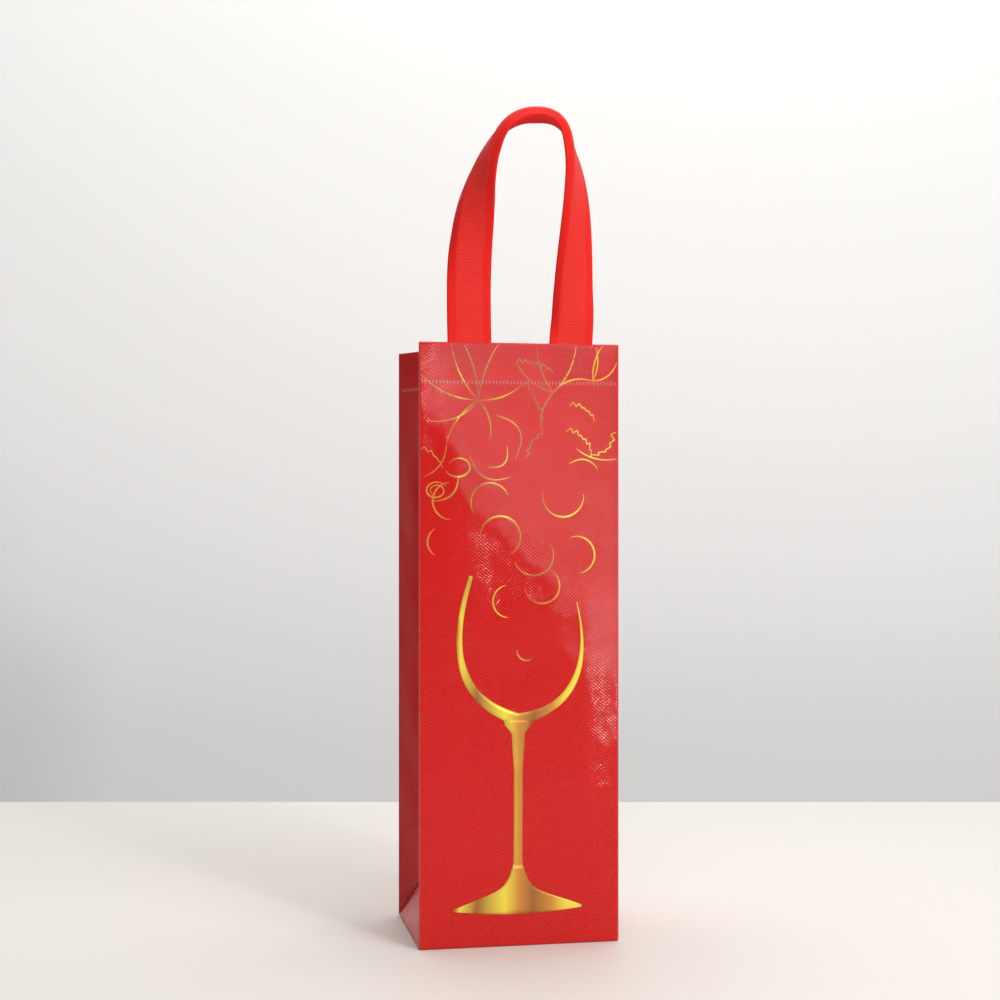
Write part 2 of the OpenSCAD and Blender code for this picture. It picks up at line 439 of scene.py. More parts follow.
def wall_wave(side, x, z):
    """How far a soft wall stands out of its flat place, in millimetres."""
    x = np.asarray(x, float) * side
    z = np.asarray(z, float)
    calm = smooth((HALF_W - np.abs(x)) / 22) * smooth(z / 40)
    bow = 1.1 * np.sin(np.pi * np.clip(z / HEIGHT, 0, 1)) * calm
    dents = dented(WALL_DENTS, x, z)
    ripple = 0.16 * np.sin(x / 9.5 + z / 21) * np.sin(z / 15 - x / 31)
    top_edge = smooth((z - (HEIGHT - 60)) / 60) * 0.9 * np.cos(x / HALF_W * math.pi * 0.5) * np.sin(x / 19)
    return bow + (dents + ripple) * calm + 0.35 * top_edge


def wall_point(side, x, z, out=0.0):
    """A point on the outer face of the front (side -1) or rear (side 1) wall, lifted by out."""
    x, z = np.broadcast_arrays(np.asarray(x, float), np.asarray(z, float))
    return np.stack([x, side * (OUTER_Y + wall_wave(side, x, z) + out), z], axis=-1)


def wall_sheet(side, name):
    """Wall and hem in one piece: under the bottom edge, up the outside, over the top edge and down inside."""
    bottom_arc = np.linspace(0, 1, 7) * math.pi / 2
    profile = [(EDGE_R * (1 - math.sin(a)), EDGE_R * (1 - math.cos(a))) for a in bottom_arc]
    profile += [(0.0, z) for z in np.linspace(EDGE_R, HEIGHT - TURN_R, 120)[1:]]
    top_arc = np.linspace(0, 1, 13)[1:] * math.pi
    profile += [(TURN_R * (1 - math.cos(a)), HEIGHT - TURN_R + TURN_R * math.sin(a)) for a in top_arc]
    profile += [(2 * TURN_R, z) for z in np.linspace(HEIGHT - TURN_R, HEIGHT - HEM_DROP, 10)[1:]]
    profile = np.array(profile)                  # (depth behind the outer face, height)
    steps = np.linalg.norm(np.diff(profile, axis=0), axis=1)
    length = np.concatenate([[0], np.cumsum(steps)])
    flat_half = HALF_W - EDGE_R
    corner = np.linspace(0, 1, 6)[1:] * math.pi / 2
    columns = [(-flat_half - EDGE_R * math.sin(a), EDGE_R * (1 - math.cos(a))) for a in corner[::-1]]
    columns += [(x, 0.0) for x in np.linspace(-flat_half, flat_half, 61)]
    columns += [(flat_half + EDGE_R * math.sin(a), EDGE_R * (1 - math.cos(a))) for a in corner]
    columns = np.array(columns)
    x, inward = columns[:, 0], columns[:, 1]
    sideways = np.sign(x) * np.sqrt(np.clip(1 - (1 - inward / EDGE_R) ** 2, 0, 1))
    way = np.gradient(profile, axis=0)
    way /= np.linalg.norm(way, axis=1, keepdims=True)
    hem_narrow = 1 - HEM_NARROWING * (profile[:, 0] / (2 * TURN_R))
    grid = np.empty((len(profile), len(columns), 3))
    normal = np.empty_like(grid)
    for r, (depth, z) in enumerate(profile):
        xs = x * hem_narrow[r]
        rounded = depth <= TURN_R                # the hem inside has square ends
        turned_in = inward * rounded
        across = sideways * rounded
        normal[r, :, 0] = across * abs(way[r, 1])
        normal[r, :, 1] = side * way[r, 1] * np.sqrt(1 - across ** 2)
        normal[r, :, 2] = way[r, 0]
        grid[r, :, 0] = xs
        grid[r, :, 1] = side * (OUTER_Y - depth - turned_in + wall_wave(side, xs, z))
        grid[r, :, 2] = z
    uv = np.stack(np.broadcast_arrays(x[None, :], length[:, None]), axis=-1)
    normal /= np.linalg.norm(normal, axis=2, keepdims=True)
    return shell(name, grid, SHEET, [FILM, LINING], uv, flip=side > 0, normal=normal)


def side_base(u):
    """The right side wall's outer face before its soft waves: u runs from its front edge to its rear edge."""
    u = np.asarray(u, float)
    bend = np.sqrt(u * u + 1.0) - 1.0
    share = np.clip(bend / (SIDE_HALF - 1.0), 0, 1)
    x = HALF_W - CREASE_IN * (1 - share)
    y = SIDE_Y * u / SIDE_HALF
    return x, y


def side_wave(u, v):
    """Soft bulge of a side wall, outwards along X: each half bows a little, and the crease stays put."""
    half = np.sin(np.pi * np.clip(np.abs(u) / SIDE_HALF, 0, 1))
    tall = np.sin(np.pi * np.clip(v / HEIGHT, 0, 1))
    ripple = 0.5 * np.sin(v / 23 + u / 17) + 0.35 * np.sin(v / 11 - u / 9)
    return half * (1.3 * tall + 0.7 * ripple + dented(SIDE_DENTS, u, v) * tall)


def side_point(side, u, v, out=0.0):
    """A point on the outer face of the left (side -1) or right (side 1) side wall, lifted by out."""
    u, v = np.broadcast_arrays(np.asarray(u, float), np.asarray(v, float))
    x, y = side_base(u)
    return np.stack([side * (x + side_wave(u, v) + out), y, v], axis=-1)


def fold_height(u):
    """Height of the diagonal fold at the foot of a side wall."""
    return np.maximum(0.9, FOLD_H * (1 - np.abs(np.asarray(u, float)) / SIDE_HALF))


def side_columns():
    """Places across a side wall, closer together at its crease."""
    half = SIDE_HALF * np.concatenate([np.linspace(0, 0.12, 9)[:-1], np.linspace(0.12, 1, 20)])
    return np.concatenate([-half[:0:-1], half])


def side_sheet(side, name):
    """Both halves of a side wall above the diagonal folds, with the turned-in hem."""
    u = side_columns()
    low = fold_height(u)
    turn_z = HEIGHT - SIDE_TURN_R
    rows = [low + (turn_z - low) * t for t in np.linspace(0, 1, 100)]
    lift = [np.zeros_like(u)] * len(rows)
    for a in np.linspace(0, math.pi, 7)[1:]:
        rows.append(np.full_like(u, turn_z + SIDE_TURN_R * math.sin(a)))
        lift.append(np.full_like(u, -SIDE_TURN_R * (1 - math.cos(a))))
    for z in np.linspace(turn_z, HEIGHT - HEM_DROP, 8)[1:]:
        rows.append(np.full_like(u, z))
        lift.append(np.full_like(u, -2 * SIDE_TURN_R))
    grid = np.empty((len(rows), len(u), 3))
    uv = np.empty((len(rows), len(u), 2))
    for r, z in enumerate(rows):
        grid[r] = side_point(side, u, z)
        grid[r, :, 0] += side * lift[r]
        run = low.copy() if r == 0 else run + np.hypot(z - rows[r - 1], lift[r] - lift[r - 1])
        uv[r] = np.stack([u, run], axis=-1)
    return shell(name, grid, SHEET * 0.9, [FILM_SIDE_SHADED, LINING], uv, flip=side < 0)


def base_fold_sheet(side, name):
    """The triangle at the foot of a side wall, from the diagonal folds down to the bottom edge."""
    u = side_columns()
    top = side_point(side, u, fold_height(u), -0.15)
    foot_x, foot_z = side * (HALF_W - 0.1), 0.7
    foot = np.stack([np.full_like(u, foot_x), SIDE_Y * u / SIDE_HALF, np.full_like(u, foot_z)], -1)
    tall = np.linalg.norm(top - foot, axis=1)
    rows = np.linspace(0, 1, 24)
    grid = np.empty((len(rows), len(u), 3))
    uv = np.empty((len(rows), len(u), 2))
    for r, t in enumerate(rows):
        grid[r] = foot + (top - foot) * t
        pillow = 1.6 * math.sin(math.pi * t) * np.clip(tall / FOLD_H, 0, 1)
        tuck = -0.7 * np.exp(-((u - 20) / 3.0) ** 2) * math.sin(math.pi * t)
        grid[r, :, 0] += side * (pillow + tuck)
        uv[r] = np.stack([u, tall * t], axis=-1)
    return shell(name, grid, SHEET, [FILM_FOLD_LIT, LINING], uv, flip=side < 0)


def base_sheet(name):
    """The floor of the bag, drawn up a little in the middle."""
    x = np.linspace(-(HALF_W - 0.4), HALF_W - 0.4, 41)
    y = np.linspace(-(WALL_Y - 0.4), WALL_Y - 0.4, 31)
    gx, gy = np.meshgrid(x, y, indexing="ij")
    dome = 1.4 * (1 - (gx / HALF_W) ** 2) * (1 - (gy / WALL_Y) ** 2)
    rise = dome + 0.15 * np.sin(gx / 11) * np.sin(gy / 13)
    lifted = rise * smooth((HALF_W - np.abs(gx)) / 20) * smooth((WALL_Y - np.abs(gy)) / 20)
    grid = np.stack([gx, gy, np.maximum(0.02, 0.02 + lifted)], -1)
    return shell(name, grid, SHEET, [FILM, LINING], np.stack([gx, gy], -1))


wall_sheet(-1, "front_wall")
wall_sheet(1, "back_wall")
side_sheet(-1, "left_side_wall")
side_sheet(1, "right_side_wall")
base_fold_sheet(-1, "left_base_fold")
base_fold_sheet(1, "right_base_fold")
floor_sheet = base_sheet("bag_floor")


# ---------------------------------------------------------------- strap handles

LOOP_H = 135.0                                   # the loop's middle line above the top edge, as in the CAD
LOOP_TOP_X = 8.0                                 # the two sides of the loop meet here
FOOT_UP = 1.5                                    # height over the top edge where the loop's curves start
LEFT_TURN_START, LEFT_TURN_END = 0.08, 0.88      # shares of the way up between which the tape turns
RIGHT_TURN_START, RIGHT_TURN_POWER = 0.12, 1.35
FULL_TURN = 112.0                                # past a quarter turn, so the loop's underside shows in front
LEFT_CURVE = np.array([[LEFT_FOOT, FOOT_UP], [-34, 0.64 * LOOP_H], [-26, LOOP_H], [LOOP_TOP_X, LOOP_H]])
RIGHT_CURVE = np.array([[LOOP_TOP_X, LOOP_H], [36, LOOP_H], [35, 0.78 * LOOP_H], [RIGHT_FOOT, FOOT_UP]])
STRAIGHT_FOOT = 26.0                             # the tape runs straight up to about this height
TAB_STEPS, BEND_STEPS = 8, 7                     # rows of mesh in a tab, and from there to the loop's start
RAISED_LEAN, HANGING_TURN = 6.0, -172.0          # degrees that the front and back straps are bent at rest
BEND_LOW, BEND_HIGH = -0.4, 2.2                  # heights about the top edge between which a strap bends

# Curl of the tape's two margins towards its back, in degrees, at shares of the way round from the left foot
CURL_AT = [0.0, 0.09, 0.2, 0.3, 0.38, 0.46, 0.56, 0.66, 0.78, 0.9, 1.0]
CURL_OUTER = [4, 6, 40, 46, 26, 8, 4, 4, 6, 6, 4]
CURL_INNER = [0, 0, 2, 6, 40, 66, 68, 62, 56, 46, 34]
# Half width of the flat middle of the tape, at the same shares
CURL_FLAT = [6.2, 6.2, 6.2, 6.0, 3.6, 3.2, 4.4, 6.2, 6.2, 6.2, 6.2]
CURL_REACH = 3.4                                 # how far past the flat middle the curl takes to set in
CURL_START = 1.0                                 # height over the top edge where the margins begin to curl
OUTER_CURL_RISE = 30.0                           # height over which the outer margin's curl sets in


def bezier(p, t):
    """A place on a cubic curve through four control points."""
    return (1 - t) ** 3 * p[0] + 3 * (1 - t) ** 2 * t * p[1] + 3 * (1 - t) * t * t * p[2] + t ** 3 * p[3]


def bezier_way(p, t):
    """The way such a curve heads, not a unit vector."""
    return (1 - t) ** 2 * (p[1] - p[0]) + 2 * (1 - t) * t * (p[2] - p[1]) + t * t * (p[3] - p[2])


def left_turn(share):
    """Degrees that the tape has turned about its own length, at a share of the way up the left side."""
    return FULL_TURN * float(smooth((share - LEFT_TURN_START) / (LEFT_TURN_END - LEFT_TURN_START)))


def right_turn(share):
    """The same at a share of the way up the right side."""
    return FULL_TURN * (1 - (1 - share) ** RIGHT_TURN_POWER) * float(smooth(share / RIGHT_TURN_START))


def strap_frames():
    """Places along a strap from its left tab to its right tab, standing upright over the front wall.

    Each is (x, height over the top edge, way in that plane, turn about its own length in radians)."""
    tab = np.linspace(-TAB_DROP, BEND_LOW, TAB_STEPS + 1)[:-1]
    bend = np.linspace(BEND_LOW, FOOT_UP, BEND_STEPS + 1)[:-1]
    frames = [(LEFT_FOOT, z, (0.0, 1.0), 0.0) for z in (*tab, *bend)]
    for curve, turn_at in ((LEFT_CURVE, left_turn), (RIGHT_CURVE, lambda t: right_turn(1 - t))):
        for t in np.linspace(0, 1, 75)[(0 if curve is LEFT_CURVE else 1):]:
            x, z = bezier(curve, t)
            way = bezier_way(curve, t)
            way = way / np.linalg.norm(way)
            upright = np.array([0.0, 1.0 if curve is LEFT_CURVE else -1.0])
            way = upright + (way - upright) * float(smooth(z / STRAIGHT_FOOT))
            way = way / np.linalg.norm(way)
            frames.append((x, z, tuple(way), math.radians(turn_at(t))))
    bend = np.linspace(FOOT_UP, BEND_LOW, BEND_STEPS + 1)[1:]
    tab = np.linspace(BEND_LOW, -TAB_DROP, TAB_STEPS + 1)[1:]
    frames += [(RIGHT_FOOT, z, (0.0, -1.0), 0.0) for z in (*bend, *tab)]
    return frames


def curled(c, bend, flat):
    """How far across and how far behind its plane a curled tape's place c from the middle lies."""
    steps = 12
    across = behind = 0.0
    for k in range(steps):
        at = abs(c) * (k + 0.5) / steps
        angle = bend * float(smooth((at - flat) / CURL_REACH))
        across += math.cos(angle) * abs(c) / steps
        behind += math.sin(angle) * abs(c) / steps
    return math.copysign(across, c), behind


def strap(side, name, turn_degrees, curl_rise):
    """A strap from tab to tab in one piece, bent over its wall's top edge by the degrees given.

    curl_rise is the height over which the inner margin's curl sets in."""
    frames = strap_frames()
    run = [0.0]
    for a, b in zip(frames, frames[1:]):
        run.append(run[-1] + math.hypot(b[0] - a[0], b[1] - a[1]))
    foot_rows = TAB_STEPS + BEND_STEPS
    loop_start, loop_end = run[foot_rows], run[-1 - foot_rows]
    widths = np.linspace(-STRAP_W / 2, STRAP_W / 2, 23)
    grid = np.empty((len(frames), len(widths), 3))
    uv = np.empty((len(frames), len(widths), 2))
    for r, (x, z, way, turn) in enumerate(frames):
        share = (run[r] - loop_start) / (loop_end - loop_start)
        outer_risen = float(smooth((z - CURL_START) / OUTER_CURL_RISE))
        inner_risen = float(smooth((z - CURL_START) / curl_rise))
        outer = math.radians(np.interp(share, CURL_AT, CURL_OUTER)) * outer_risen
        inner = math.radians(np.interp(share, CURL_AT, CURL_INNER)) * inner_risen
        flat = float(np.interp(share, CURL_AT, CURL_FLAT))
        out = np.array([-way[1], 0.0, way[0]])
        front = np.array([0.0, -1.0, 0.0])
        inward = -out * math.cos(turn) + front * math.sin(turn)
        face = front * math.cos(turn) + out * math.sin(turn)
        sway = 0.5 * math.sin(run[r] / 17.0) * float(smooth(z / 30))
        middle = np.array([x, 0.0, z]) + face * sway
        for k, c in enumerate(widths):
            across, behind = curled(c, inner if c > 0 else outer, flat)
            grid[r, k] = middle + inward * across - face * behind + face * (STRAP_T / 2)
            uv[r, k] = (c, run[r])
    tilt = smooth((grid[:, :, 2] - BEND_LOW) / (BEND_HIGH - BEND_LOW)) * math.radians(turn_degrees)
    if side < 0:                                 # y and z are measured from the hinge line
        y = grid[:, :, 1] - STRAP_Y + HINGE_Y
    else:
        y = grid[:, :, 1] + STRAP_Y - HINGE_Y
    z = grid[:, :, 2] + HEIGHT - HINGE_Z
    bent = grid.copy()
    bent[:, :, 1] = side * HINGE_Y + y * np.cos(tilt) - z * np.sin(tilt)
    bent[:, :, 2] = HINGE_Z + y * np.sin(tilt) + z * np.cos(tilt)
    return shell(name, bent, STRAP_T, [STRAP], uv)


front_strap = strap(-1, "front_strap", RAISED_LEAN, 14.0)
back_strap = strap(1, "back_strap", HANGING_TURN, 50.0)


# ---------------------------------------------------------------- welds

SINK = 0.05                                      # how far marks and ink reach into the film below
TOP_W, TOP_H = 0.62, 0.84                        # a mark's flat top, as shares of its foot
HEM_MARK = (0.36, 0.95, 0.1)                     # half width, half height and rise of each kind of mark
PIN_MARK = (0.4, 0.4, 0.09)
TOOTH_MARK = (0.38, 1.5, 0.14)
SECOND_MARK = (0.3, 1.2, 0.1)
STRAY_MARK = (0.45, 0.8, 0.1)
TOOTH_LEAN, STRAY_LEAN = 0.35, 0.3               # in radians from upright
HEM_WELD_Z = HEIGHT - 23.6
WELD_PITCH, TOOTH_PITCH, STRAY_PITCH, PIN_PITCH = 2.1, 1.75, 2.6, 1.55
X_WAY, Y_WAY, Z_WAY = np.eye(3)


def pad(place, across, up, out, size):
    """A small raised mark with a flat top: (points, faces). across, up and out are unit vectors."""
    half_w, half_h, rise = size
    base = [(-1, -1), (1, -1), (1, 1), (-1, 1)]
    points = [place + across * a * half_w + up * b * half_h - out * SINK for a, b in base]
    points += [place + across * a * half_w * TOP_W + up * b * half_h * TOP_H + out * rise for a, b in base]
    faces = [(4, 5, 6, 7)] + [(k, (k + 1) % 4, 4 + (k + 1) % 4, 4 + k) for k in range(4)] + [(3, 2, 1, 0)]
    return np.array(points), faces


def face_marks(side, places, size):
    """Marks on a front or rear wall at (x, z) places."""
    return [pad(wall_point(side, x, z), X_WAY * -side, Z_WAY, Y_WAY * side, size) for x, z in places]


def side_marks(side, places, size, lean=0.0):
    """Marks on a side wall at (u, v) places."""
    parts = []
    for u, v in places:
        here = side_point(side, u, v)
        along = side_point(side, u + 0.5, v) - side_point(side, u - 0.5, v)
        along /= np.linalg.norm(along)
        out = np.cross(along, Z_WAY) * side
        out /= np.linalg.norm(out)
        up = Z_WAY * math.cos(lean) + along * math.sin(lean)
        across = along * math.cos(lean) - Z_WAY * math.sin(lean)
        parts.append(pad(here, across * side, up, out, size))
    return parts


rng = np.random.default_rng(7)


def hem_row_places(limit):
    """A row of weld marks across a hem, a little uneven."""
    count = int(2 * limit / WELD_PITCH)
    return [(-limit + WELD_PITCH * (k + 0.5) + rng.normal(0, 0.06), HEM_WELD_Z + rng.normal(0, 0.12))
            for k in range(count)]


def patch_places(foot):
    """The grid of pin marks that the die leaves over a strap's end."""
    return [(foot + PIN_PITCH * (c - 7), HEIGHT - 3.0 - PIN_PITCH * r + 0.4 * math.sin(c / 3))
            for c in range(15) for r in range(12) if (c + r) % 2 == 0]


def along_fold(start, end, above, waver, beat):
    """Places beside the diagonal folds of a side wall, wavering a little, on both halves."""
    row = [(u, float(fold_height(u)) + above + waver * beat(u)) for u in np.arange(start, end, TOOTH_PITCH)]
    return row + [(-u, v) for u, v in row]


for side, word in ((-1, "front"), (1, "back")):
    joined(word + "_hem_weld", face_marks(side, hem_row_places(HALF_W - 0.9), HEM_MARK), [WELD_PALE])
    pins = patch_places(LEFT_FOOT) + patch_places(RIGHT_FOOT)
    joined(word + "_strap_welds", face_marks(side, pins, PIN_MARK), [WELD_RED])

fold_teeth = along_fold(4.0, SIDE_HALF - 2, 2.6, 0.9, lambda u: math.sin(u * 1.7))
second_row = along_fold(12.0, SIDE_HALF - 3, 6.0, 0.5, lambda u: math.cos(u * 1.3))
stray_row = [(u, 58.0 + 0.12 * (u - 30)) for u in np.arange(20.0, 40.0, STRAY_PITCH)]
for side, word in ((-1, "left"), (1, "right")):
    joined(word + "_hem_weld", side_marks(side, hem_row_places(SIDE_HALF - 2.2), HEM_MARK), [WELD_PALE])
    marks = side_marks(side, fold_teeth, TOOTH_MARK, TOOTH_LEAN)
    marks += side_marks(side, second_row, SECOND_MARK, TOOTH_LEAN)
    marks += side_marks(side, stray_row, STRAY_MARK, STRAY_LEAN)
    joined(word + "_fold_welds", marks, [WELD_DARK])


# ---------------------------------------------------------------- gold print

PRINT_LIFT = 0.07                                # how far the ink stands off the wall
STEM_LIFT, FOOT_LIFT = 0.1, 0.13                 # the stem and the foot lie over the strokes they meet


def printed(side, path, half_widths, across=2, lift=PRINT_LIFT):
    """Ink laid on a wall along a path of (x, z) places, with a half width at each: (points, faces, uv)."""
    path = np.asarray(path, float)
    half_widths = np.broadcast_to(np.asarray(half_widths, float), len(path))
    way = np.gradient(path, axis=0)
    way /= np.maximum(np.linalg.norm(way, axis=1, keepdims=True), 1e-9)
    sideways = np.stack([-way[:, 1], way[:, 0]], -1)
    t = np.linspace(-1, 1, across)
    flat = path[:, None, :] + sideways[:, None, :] * (half_widths[:, None] * t[None, :])[:, :, None]
    return inked(side, flat, lift)


def inked(side, flat, lift=PRINT_LIFT):
    """Ink over a grid of (x, z) places, clipped at the wall's edges: (points, faces, uv)."""
    flat = flat.copy()
    flat[:, :, 0] = np.clip(flat[:, :, 0], -(HALF_W - EDGE_R), HALF_W - EDGE_R)
    flat[:, :, 1] = np.clip(flat[:, :, 1], EDGE_R, HEIGHT - TURN_R)
    rows, cols = flat.shape[:2]
    mirror = 1 if side < 0 else -1
    top = wall_point(side, flat[:, :, 0] * mirror, flat[:, :, 1], lift).reshape(-1, 3)
    under = wall_point(side, flat[:, :, 0] * mirror, flat[:, :, 1], -SINK).reshape(-1, 3)
    count = rows * cols
    faces = []
    for r in range(rows - 1):
        for c in range(cols - 1):
            a, b = r * cols + c, r * cols + c + 1
            faces += [(a, b, b + cols, a + cols), (count + a + cols, count + b + cols, count + b, count + a)]
    rim = rim_of(rows, cols)
    for k, a in enumerate(rim):
        b = rim[(k + 1) % len(rim)]
        faces.append((b, a, a + count, b + count))
    uv = np.concatenate([flat.reshape(-1, 2)] * 2)
    return np.concatenate([top, under]), faces, uv


def taper(count, thick, thin=0.12, peak=0.5):
    """Half widths that swell from thin to thick and back, thickest at a share of the way."""
    t = np.linspace(0, 1, count)
    rise = np.where(t < peak, t / peak, (1 - t) / (1 - peak))
    return thin + (thick - thin) * np.sin(rise * math.pi / 2)


def line(start, end, bulge, thick=0.36):
    """A tapered curve between two places that bows sideways by bulge."""
    start, end = np.array(start, float), np.array(end, float)
    t = np.linspace(0, 1, 26)[:, None]
    chord = end - start
    sideways = np.array([-chord[1], chord[0]]) / np.linalg.norm(chord)
    return start + chord * t + sideways * bulge * 4 * t * (1 - t), taper(26, thick, 0.1, 0.4)


def ring_part(x, z, radius, start, sweep):
    """Part of a circle, thickest in the middle of its sweep; angles in degrees from +X, anticlockwise."""
    angle = np.radians(start + sweep * np.linspace(0, 1, 48))
    return np.stack([x + radius * np.cos(angle), z + radius * np.sin(angle)], -1), taper(48, 0.55, 0.06)


def zigzag(start, end, teeth, depth, bow):
    """A leaf's toothed edge: a bowed line with uneven points along one side."""
    start, end = np.array(start, float), np.array(end, float)
    chord = end - start
    sideways = np.array([-chord[1], chord[0]]) / np.linalg.norm(chord)
    places = []
    for k in range(2 * teeth + 1):
        t = k / (2 * teeth)
        step = depth * (0.75 + 0.4 * math.sin(2.3 * k)) * (k % 2)
        lean = -0.32 / teeth * (k % 2)
        places.append(start + chord * (t + lean) + sideways * (bow * 4 * t * (1 - t) + step))
    corners = np.array(places)
    t = np.linspace(0, len(corners) - 1, 10 * (len(corners) - 1) + 1)
    path = np.stack([np.interp(t, range(len(corners)), corners[:, i]) for i in (0, 1)], -1)
    return path, taper(len(path), 0.32)


def tendril(x, z, radius, turns, start, shrink):
    """A curl that closes in as it goes round, a little wider than it is tall."""
    t = np.linspace(0, 1, 70)
    angle = np.radians(start) + turns * 2 * math.pi * t
    reach = radius * (1 - shrink * t)
    path = np.stack([x + reach * np.cos(angle), z + reach * 0.8 * np.sin(angle)], -1)
    return path, taper(70, 0.5, 0.08, 0.3)


GRAPES = [                                       # x, z, radius, start angle, sweep
    (26, 265, 12.5, 170, 195), (-18, 261, 11.5, 20, 200), (-41, 262, 11, 95, 175), (-12, 241, 12, -60, 250),
    (8, 230, 12, 200, 190), (34, 230, 11, -80, 190), (13, 212, 10.5, 180, 240), (-7, 203, 9.5, 100, 170),
    (4, 174, 6, 175, 130), (-46, 238, 9, 120, 120),
]
VEINS = [                                        # start, end, bulge
    ((-25, 321), (-59, 336), 4), ((-25, 321), (-41, 354), 3), ((-25, 321), (-33, 353), -2),
    ((-25, 321), (-13, 354), 2), ((-25, 321), (2, 331), -3), ((-25, 321), (-44, 296), -3),
    ((-25, 321), (-56, 309), 5), ((-25, 321), (-18, 298), 3), ((-44, 296), (-57, 276), 4),
    ((20, 326), (34, 354), -3), ((20, 326), (-2, 343), 3), ((20, 326), (44, 333), 4),
    ((20, 326), (10, 352), 2), ((44, 333), (58.6, 344), -3), ((44, 333), (50, 354), 2),
    ((44, 333), (46, 353), -2), ((20, 326), (12, 306), -2), ((34, 293), (58.6, 287), -3),
    ((30, 284), (47, 281), 4),
    ((-8, 294), (-20, 282), 6), ((-30, 288), (-6, 276), -7), ((-14, 312), (-3, 287), 9),
]
TOOTHED = [                                      # start, end, teeth, depth, bow
    ((2, 331), (13, 303), 7, 2.2, 3), ((13, 303), (3, 288), 5, 1.9, -2), ((-2, 343), (20, 338), 6, 1.9, 2),
    ((28, 303), (43, 288), 6, 2.2, 4), ((43, 288), (58.6, 303), 5, 2.4, -4),
    ((-59, 292), (-46, 281), 4, 1.8, 2), ((30, 318), (45, 309), 5, 1.9, 3),
]
TENDRILS = [                                     # x, z, radius, turns, start angle, share it closes in by
    (-50, 268, 6.5, 1.6, 30, 0.55), (-37, 282, 8, 0.9, 200, 0.3),
]
TENDRIL_TAIL = ((-37, 276), (-52, 262), 5, 0.6)  # start, end, bulge, half width
BOWL_LEFT = np.array([[-29.3, 218], [-41, 182], [-42, 146], [-1.2, 133.5]])
BOWL_RIGHT = np.array([[-1.2, 133.5], [35, 139], [42.5, 168], [34, 202]])
GLASS_X = -1.2
FOOT_R = 38.3
STEM_R = 2.6


def bowl_line():
    """The bowl's outline in one stroke: a heavy left flank and bottom, thinning out to the right rim."""
    t = np.linspace(0, 1, 60)
    left = np.array([bezier(BOWL_LEFT, v) for v in t])
    right = np.array([bezier(BOWL_RIGHT, v) for v in t[1:]])
    widths = np.concatenate([np.interp(t, [0, 0.12, 0.45, 0.75, 1], [1.2, 1.4, 1.8, 2.8, 3.6]),
                             np.interp(t[1:], [0, 0.2, 0.5, 0.8, 1], [3.6, 2.4, 1.8, 0.8, 0.15])])
    return np.concatenate([left, right]), widths


def foot_grid():
    """The glass's foot, flat below and swept up into the stem above."""
    x = np.concatenate([-np.geomspace(FOOT_R, 2.0, 26), np.linspace(-2.0, 2.0, 5)[1:-1],
                        np.geomspace(2.0, FOOT_R, 26)])
    a = np.abs(x)
    low = 19.0 + 2.6 * (a / FOOT_R) ** 2         # the underside rises towards the rim
    high = 23.0 + 0.36 * (FOOT_R - a) + 14 * np.exp(-(a - STEM_R) / 3.2)
    high = np.minimum(high, 48)                  # cut off inside the stem
    t = np.linspace(0, 1, 9)[:, None]
    return np.stack([np.broadcast_to(x + GLASS_X, (9, len(x))), low + (high - low) * t], -1)


def stem_line():
    """The glass's stem, widening into the foot and into the bowl."""
    z = np.linspace(42, 133, 60)
    widths = STEM_R + 0.6 * smooth((52 - z) / 8) + 1.2 * smooth((z - 100) / 25) + 4.6 * smooth((z - 124) / 8)
    return np.stack([np.full_like(z, GLASS_X), z], -1), widths


def print_on(side, name):
    """All the ink of one wall as one mesh."""
    strokes = [printed(side, *bowl_line(), across=4),
               printed(side, *stem_line(), across=5, lift=STEM_LIFT),
               inked(side, foot_grid(), FOOT_LIFT)]
    strokes += [printed(side, *ring_part(*grape)) for grape in GRAPES]
    strokes += [printed(side, *line(a, b, bulge)) for a, b, bulge in VEINS]
    strokes += [printed(side, *zigzag(*edge)) for edge in TOOTHED]
    strokes += [printed(side, *tendril(*curl)) for curl in TENDRILS]
    strokes += [printed(side, *line(*TENDRIL_TAIL))]
    points, faces, uv, start = [], [], [], 0
    for p, f, place in strokes:
        points.append(p)
        uv.append(place)
        faces += [tuple(v + start for v in face) for face in f]
        start += len(p)
    return new_mesh(name, np.concatenate(points), faces, [GOLD], uv=np.concatenate(uv))


print_on(-1, "front_print")
print_on(1, "back_print")


# ---------------------------------------------------------------- bodies, folds, strap blends and hidden parts

def piece(name):
    """The visible piece of that name."""
    return bpy.data.objects[name]


for name in ("front_wall", "front_hem_weld", "front_strap_welds", "front_print"):
    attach(piece(name), "front")
for name in ("back_wall", "back_hem_weld", "back_strap_welds", "back_print"):
    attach(piece(name), "root")

FOLDING = ["bag_floor"] + [side + part for side in ("left", "right")
                           for part in ("_side_wall", "_base_fold", "_hem_weld", "_fold_welds")]
for name in FOLDING:
    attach(piece(name), "root")
    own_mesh(piece(name))

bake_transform(front_strap, "front", "front_handle",
         start=(0, 0, (HEIGHT + BEND_LOW) * MM), end=(0, 0, (HEIGHT + BEND_HIGH) * MM))
# The hanging strap's blend starts outside its tabs and ends short of its loop
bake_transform(back_strap, "root", "back_handle",
         start=(0, (STRAP_Y + 0.6) * MM, 0), end=(0, (STRAP_Y + 2.3) * MM, 0))

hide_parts("front_panel", "front_hem")
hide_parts("back_panel", "back_hem")
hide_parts("base_panel")
for side in ("left", "right"):
    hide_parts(*(side + part for part in ("_gusset_front", "_gusset_rear", "_hem_front", "_hem_rear")))
    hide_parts(side + "_base_triangle")
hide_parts("front_handle", "front_tab_left", "front_tab_right")
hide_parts("back_handle", "back_tab_left", "back_tab_right")


# ---------------------------------------------------------------- stage, light and camera

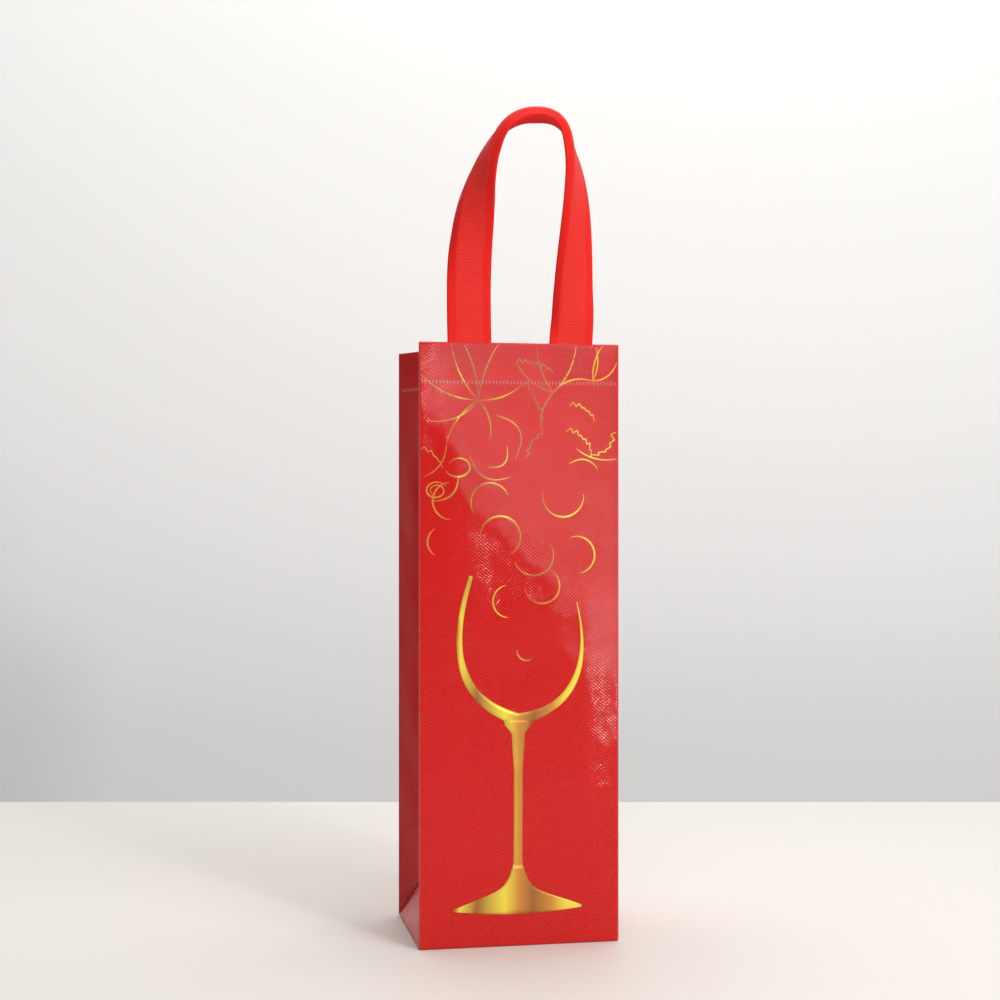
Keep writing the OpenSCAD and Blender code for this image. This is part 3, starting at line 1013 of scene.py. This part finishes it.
def plain(name, color, roughness):
    """An even colour for the stage."""
    m = Nodes(name)
    m.set(Base_Color=(*color, 1), Roughness=roughness)
    return m.material


VIEW_WAY = np.array([0.1857, 0.9826])            # the camera's heading, from above


def on_stage(across, ahead, z):
    """A place on the stage, which squares up to the camera."""
    x, y = np.array([VIEW_WAY[1], -VIEW_WAY[0]]) * across + VIEW_WAY * ahead
    return x, y, z


def stage_sheet(name, half, first, last, material):
    """A rectangle between two edges, each an (ahead, z) place and half long to either side."""
    corners = [on_stage(-half, *first), on_stage(half, *first), on_stage(half, *last), on_stage(-half, *last)]
    obj = new_mesh(name, corners, [(0, 1, 2, 3)], [material], shade=False)


TABLE_Z = -0.06                                  # just under the bag, so that they don't share a plane
table_cloth = plain("table_cloth", (0.82, 0.79, 0.735), 0.6)
backdrop_paper = plain("backdrop_paper", (0.84, 0.83, 0.81), 0.9)
backdrop_sockets = backdrop_paper.node_tree.nodes["Principled BSDF"].inputs
backdrop_sockets["Emission Color"].default_value = (0.97, 0.96, 0.95, 1)
backdrop_sockets["Emission Strength"].default_value = 0.14
stage_sheet("table", 1500, (-1500, TABLE_Z), (452, TABLE_Z), table_cloth)
stage_sheet("backdrop", 2500, (900, -900), (900, 2200), backdrop_paper)


def softbox(name, place, target, size, power):
    """A rectangular light that faces its target."""
    light = bpy.data.lights.new(name, "AREA")
    light.shape = "RECTANGLE"
    light.size, light.size_y = size
    light.energy = power
    obj = bpy.data.objects.new(name, light)
    obj.location = place
    obj.rotation_euler = (Vector(target) - Vector(place)).to_track_quat("-Z", "Y").to_euler()
    bpy.context.scene.collection.objects.link(obj)


MIDDLE = (0, 0, 0.22)
softbox("key", (0.9, -1.35, 1.6), MIDDLE, (0.9, 0.9), 13)
softbox("glint", (0.72, -1.6, 0.78), MIDDLE, (0.17, 0.17), 8)
softbox("front_fill", (-0.1, -1.75, 2.1), MIDDLE, (1.4, 1.0), 12)
softbox("top", (0.1, 0.15, 1.7), MIDDLE, (1.4, 1.0), 10)
softbox("backdrop_wash", (0.1, 0.3, 1.5), (0.15, 0.95, 0.35), (2.4, 0.6), 3.5)

world = bpy.data.worlds.new("studio")
world.use_nodes = True
world.node_tree.nodes["Background"].inputs["Color"].default_value = (0.95, 0.97, 1.0, 1)
world.node_tree.nodes["Background"].inputs["Strength"].default_value = 0.2
bpy.context.scene.world = world
bpy.context.scene.view_settings.view_transform = "Standard"

camera = bpy.data.cameras.new("camera")
camera.lens = 63.7
camera.sensor_width = 36
camera_obj = bpy.data.objects.new("camera", camera)
camera_obj.location = (-0.205, -1.067, 0.2625)
camera_obj.rotation_euler = Vector((*VIEW_WAY, 0)).to_track_quat("-Z", "Y").to_euler()
bpy.context.scene.collection.objects.link(camera_obj)
bpy.context.scene.camera = camera_obj
